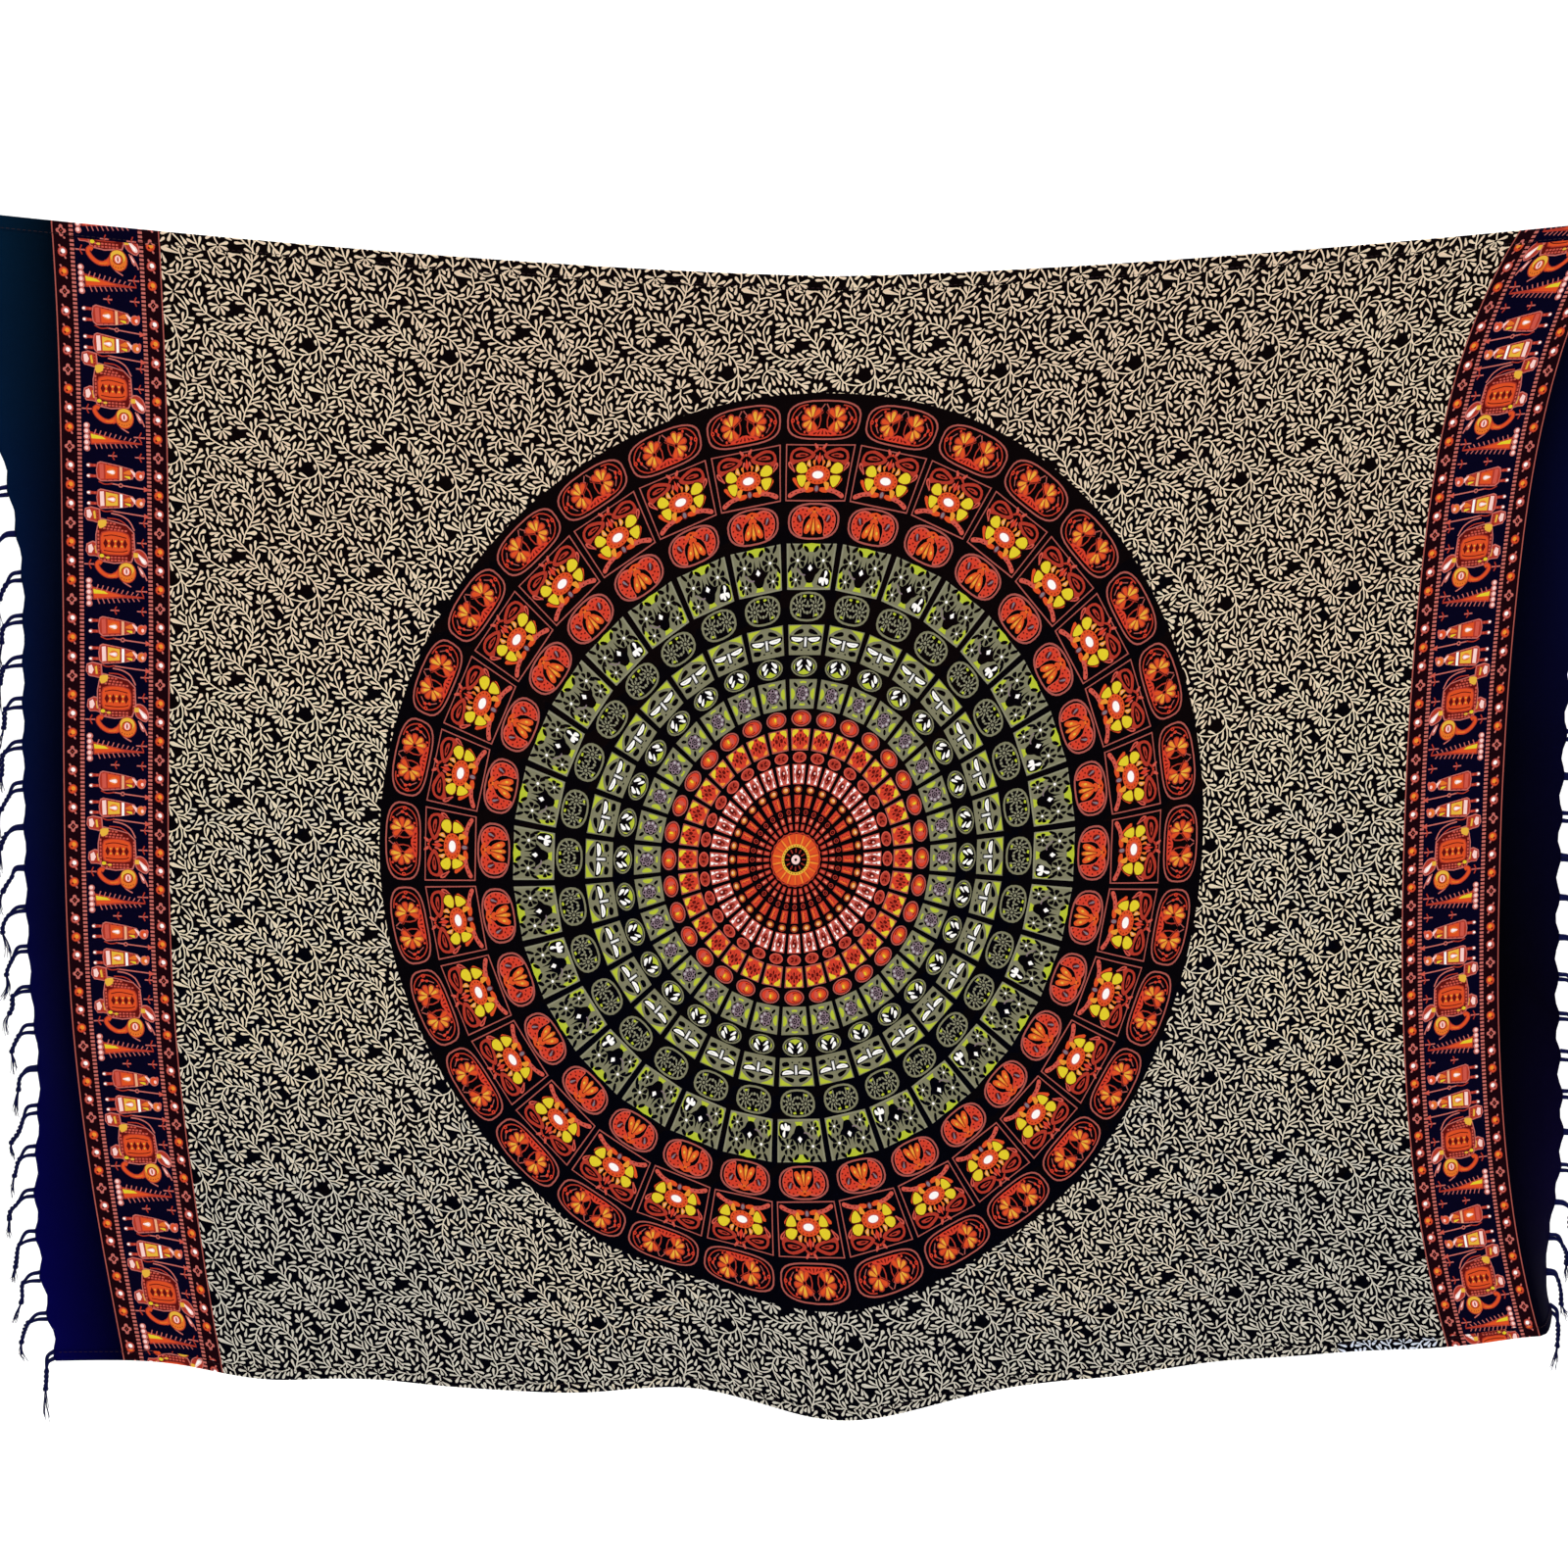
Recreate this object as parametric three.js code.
// A printed cotton tapestry hung by its two top corners: a hemmed cloth panel with a fringe of
// knotted thread tassels down both short edges.
// Millimetres, +Z up. The origin is the middle of the straight line through the two top corners,
// +X runs to the right along that line and +Y points into the wall, so the printed face looks at -Y.
import * as THREE from "three";

// Cloth, as cut
const CLOTH_WIDTH = 1680;
const CLOTH_HEIGHT = 1150;
const END_STRIP = 70;
const BORDER = 108;
const HALF_WIDTH = CLOTH_WIDTH / 2;
const BORDER_OUTER = HALF_WIDTH - END_STRIP;
const BORDER_INNER = BORDER_OUTER - BORDER;

// Cloth, as hung
const HANG_HALF_SPAN = 820;
const HUNG_HEIGHT = 1138;
const SAG_AT_TOP = 59;
const SIDE_LIFT = 15;
const SAG_BELOW = 52;
const LEFT_BORDER_HUNG = 103;
const RIGHT_BORDER_HUNG = 98;
const LEFT_TURN_BACK = THREE.MathUtils.degToRad(42);
const RIGHT_TURN_BACK = THREE.MathUtils.degToRad(18);
const RIGHT_CORNER_TURN = THREE.MathUtils.degToRad(50);
const FOLD_DEPTH = 6;
const BILLOW_DEPTH = 12;

// Solids
const PANEL_THICKNESS = 1.2;
const HEM_THICKNESS = 2.4;
const TOP_HEM_HEIGHT = 14;
const BOTTOM_HEM_HEIGHT = 12;
const HEM_GAP = 0.5;
const COLUMNS = 42;
const ROWS = 28;

// Fringe
const TASSELS_PER_SIDE = 28;
const FIRST_TASSEL_DROP = 10;
const LAST_TASSEL_DROP = 1143;
const TASSEL_RADIUS = 1.7;
const TASSEL_REACH = 30;
const TASSEL_DROP = 48;
const CORNER_TASSEL_DROP = 74;
const TASSEL_GAP = 2.4;
const CORNER_TASSEL_GAP = 4.5;
const TASSEL_SIDES = 6;
const TASSEL_STEPS = 9;

const PRINTED_BLACK = new THREE.MeshStandardMaterial({ color: 0x2b2620, roughness: 0.85 });
const HEM_CLOTH = new THREE.MeshStandardMaterial({ color: 0x3a332b, roughness: 0.85 });
const NAVY_THREAD = new THREE.MeshStandardMaterial({ color: 0x0b1030, roughness: 0.8 });

const ease = (low, high, x) => THREE.MathUtils.smoothstep(x, low, high);
const bump = (x, middle, width) => Math.exp(-(((x - middle) / width) ** 2));

// Where the border's inner line hangs, at drop t from 0 at the top edge to 1 at the bottom edge
const leftInnerLine = (t) => -646 - 22 * Math.sin(Math.PI * t) + 11 * Math.sin(2 * Math.PI * t) + 15 * t;
const rightInnerLine = (t) => 560 + 92 * Math.exp(-t / 0.13) + 72 * t ** 5;

// The plain end strip turns back towards the wall along the border's outer line
function turnBack(side, t) {
  if (side < 0) {
    return LEFT_TURN_BACK * ease(0.08, 0.32, t) * (1 - ease(0.72, 0.95, t));
  }
  return RIGHT_TURN_BACK * ease(0, 0.15, t) + RIGHT_CORNER_TURN * ease(0.78, 1, t);
}

// Distance across the end strip and distance back, at distance q beyond the border's outer line
function endStrip(side, q, t) {
  const angle = turnBack(side, t);
  const bend = q / (q + 12);
  return { across: q * (1 - (1 - Math.cos(angle)) * bend), back: q * Math.sin(angle) * bend };
}

// Place across the wall and depth of the end strip for flat place u
function hungAcross(u, t) {
  const side = Math.sign(u) || 1;
  const distance = Math.abs(u);
  const inner = side < 0 ? leftInnerLine(t) : rightInnerLine(t);
  if (distance <= BORDER_INNER) {
    const share = (u + BORDER_INNER) / (2 * BORDER_INNER);
    const bow = 14 * (1 - 0.6 * t) * (1 - (u / BORDER_INNER) ** 2);
    return { x: leftInnerLine(t) * (1 - share) + rightInnerLine(t) * share + bow, back: 0 };
  }
  const borderHung = side < 0 ? LEFT_BORDER_HUNG : RIGHT_BORDER_HUNG;
  const border = borderHung * Math.min(1, (distance - BORDER_INNER) / BORDER);
  const strip = endStrip(side, Math.max(0, distance - BORDER_OUTER), t);
  return { x: inner + side * (border + strip.across), back: strip.back };
}

// Soft upright folds, flat at the top edge and deepest at the bottom edge
function foldDepth(u, t) {
  const folds = Math.sin(u / 49 + 0.6) + 0.6 * Math.sin(u / 29 + 2.1 + 1.5 * t);
  const billow = 0.7 + 0.3 * Math.sin(u / 160 + 3 * t);
  return -ease(0, 0.3, t) * (FOLD_DEPTH * (0.4 + 0.6 * t) * (1 + 0.6 * folds) + BILLOW_DEPTH * billow);
}

// The bottom edge waves where the cloth billows
function bottomWave(x) {
  return 28 * bump(x, 20, 95) - 12 * bump(x, 360, 140) - 14 * bump(x, -190, 90) + 12 * bump(x, -610, 90);
}

// A point of the cut cloth (u across, v down from the top edge, both flat) as it hangs
function hung(u, v) {
  const t = v / CLOTH_HEIGHT;
  const { x, back } = hungAcross(u, t);
  const s = Math.min(1, Math.abs(x / HANG_HALF_SPAN));
  const topSag = SAG_AT_TOP * (1 - s ** 1.45);
  const lowerSag = SAG_BELOW * (1 - ease(0.2, 0.95, s));
  const sag = THREE.MathUtils.lerp(topSag, lowerSag, ease(0, 0.35, t));
  const drop = t * (HUNG_HEIGHT - (SIDE_LIFT * x) / HANG_HALF_SPAN);
  const z = -(sag + drop + bottomWave(x) * ease(0.8, 1, t));
  return new THREE.Vector3(x, foldDepth(u, t) + back, z);
}

// Unit normal of the hung cloth, out of the printed face
function faceNormal(u, v) {
  const acrossStep = hung(u + 1, v).sub(hung(u - 1, v));
  const downStep = hung(u, v + 1).sub(hung(u, Math.max(0, v - 1)));
  return downStep.cross(acrossStep).normalize();
}

// A closed slab that follows the hung cloth between two drops; a flat one keeps the top edge's depth
function clothSlab(topDrop, bottomDrop, rows, thickness, flatBack) {
  const positions = [];
  const indices = [];
  const layer = (COLUMNS + 1) * (rows + 1);
  const at = (side, row, column) => side * layer + row * (COLUMNS + 1) + column;
  for (const side of [-1, 1]) {
    for (let row = 0; row <= rows; row += 1) {
      const v = topDrop + ((bottomDrop - topDrop) * row) / rows;
      for (let column = 0; column <= COLUMNS; column += 1) {
        const u = -HALF_WIDTH + (CLOTH_WIDTH * column) / COLUMNS;
        const point = hung(u, v);
        if (flatBack) {
          point.y = 0;
        }
        const normal = flatBack ? new THREE.Vector3(0, -1, 0) : faceNormal(u, v);
        point.addScaledVector(normal, (-side * thickness) / 2);
        positions.push(point.x, point.y, point.z);
      }
    }
  }
  const quad = (a, b, c, d) => indices.push(a, b, c, a, c, d);
  for (let row = 0; row < rows; row += 1) {
    for (let column = 0; column < COLUMNS; column += 1) {
      quad(at(0, row, column), at(0, row + 1, column), at(0, row + 1, column + 1), at(0, row, column + 1));
      quad(at(1, row, column), at(1, row, column + 1), at(1, row + 1, column + 1), at(1, row + 1, column));
    }
  }
  for (let column = 0; column < COLUMNS; column += 1) {
    quad(at(0, 0, column), at(0, 0, column + 1), at(1, 0, column + 1), at(1, 0, column));
    quad(at(0, rows, column), at(1, rows, column), at(1, rows, column + 1), at(0, rows, column + 1));
  }
  for (let row = 0; row < rows; row += 1) {
    quad(at(0, row, 0), at(1, row, 0), at(1, row + 1, 0), at(0, row + 1, 0));
    quad(at(0, row, COLUMNS), at(0, row + 1, COLUMNS), at(1, row + 1, COLUMNS), at(1, row, COLUMNS));
  }
  const geometry = new THREE.BufferGeometry();
  geometry.setAttribute("position", new THREE.Float32BufferAttribute(positions, 3));
  geometry.setIndex(indices);
  geometry.computeVertexNormals();
  return geometry;
}

// A tassel leaves the cloth's edge level, then bends down under its own weight
function tasselPath(side, reach, drop, lean) {
  const points = [
    [0, 0],
    [0.32, 0.02],
    [0.62, 0.17],
    [0.84, 0.44],
    [0.94, 0.72],
    [1, 1],
  ];
  return new THREE.CatmullRomCurve3(
    points.map(([out, down]) => {
      const across = side * (reach * out + lean * down * down);
      return new THREE.Vector3(across, 0, -drop * down);
    }),
  );
}

// A corner tassel hangs almost straight down from the bottom corner
function cornerTasselPath(side, drop) {
  return new THREE.CatmullRomCurve3([
    new THREE.Vector3(0, 0, 0),
    new THREE.Vector3(side * 5, 0, -1),
    new THREE.Vector3(side * 9, 0, -8),
    new THREE.Vector3(side * 9, 0, -0.4 * drop),
    new THREE.Vector3(side * 7, 0, -0.7 * drop),
    new THREE.Vector3(side * 9, 0, -drop),
  ]);
}

function tasselGeometry(path) {
  const section = new THREE.Shape();
  for (let corner = 0; corner < TASSEL_SIDES; corner += 1) {
    const angle = (corner * 2 * Math.PI) / TASSEL_SIDES;
    const x = TASSEL_RADIUS * Math.cos(angle);
    const y = TASSEL_RADIUS * Math.sin(angle);
    if (corner === 0) {
      section.moveTo(x, y);
    } else {
      section.lineTo(x, y);
    }
  }
  section.closePath();
  return new THREE.ExtrudeGeometry(section, { steps: TASSEL_STEPS, extrudePath: path });
}

function addMesh(group, name, geometry, material) {
  const mesh = new THREE.Mesh(geometry, material);
  mesh.name = name;
  group.add(mesh);
  return mesh;
}

function addTassel(group, side, index) {
  const last = index === TASSELS_PER_SIDE - 1;
  const share = index / (TASSELS_PER_SIDE - 1);
  const v = FIRST_TASSEL_DROP + (LAST_TASSEL_DROP - FIRST_TASSEL_DROP) * share;
  const root = hung(side * HALF_WIDTH, v);
  const reach = TASSEL_REACH + 1.2 * Math.sin(2.3 * index + side);
  const drop = TASSEL_DROP + 2.5 * Math.sin(1.7 * index + 2 * side);
  const lean = 0.8 * Math.sin(3.1 * index);
  const path = last ? cornerTasselPath(side, CORNER_TASSEL_DROP) : tasselPath(side, reach, drop, lean);
  const name = `${side < 0 ? "left" : "right"}_tassel_${String(index + 1).padStart(2, "0")}`;
  const mesh = addMesh(group, name, tasselGeometry(path), NAVY_THREAD);
  const gap = last ? CORNER_TASSEL_GAP : TASSEL_GAP;
  mesh.position.set(root.x + side * gap, root.y, root.z);
}

const group = new THREE.Group();
const panelTop = TOP_HEM_HEIGHT + HEM_GAP;
const panelBottom = CLOTH_HEIGHT - BOTTOM_HEM_HEIGHT - HEM_GAP;
const hemTop = CLOTH_HEIGHT - BOTTOM_HEM_HEIGHT;
addMesh(group, "top_hem", clothSlab(0, TOP_HEM_HEIGHT, 1, HEM_THICKNESS, true), HEM_CLOTH);
addMesh(group, "cloth_panel", clothSlab(panelTop, panelBottom, ROWS, PANEL_THICKNESS, false), PRINTED_BLACK);
addMesh(group, "bottom_hem", clothSlab(hemTop, CLOTH_HEIGHT, 1, HEM_THICKNESS, false), HEM_CLOTH);
for (const side of [-1, 1]) {
  for (let index = 0; index < TASSELS_PER_SIDE; index += 1) {
    addTassel(group, side, index);
  }
}

export default group;
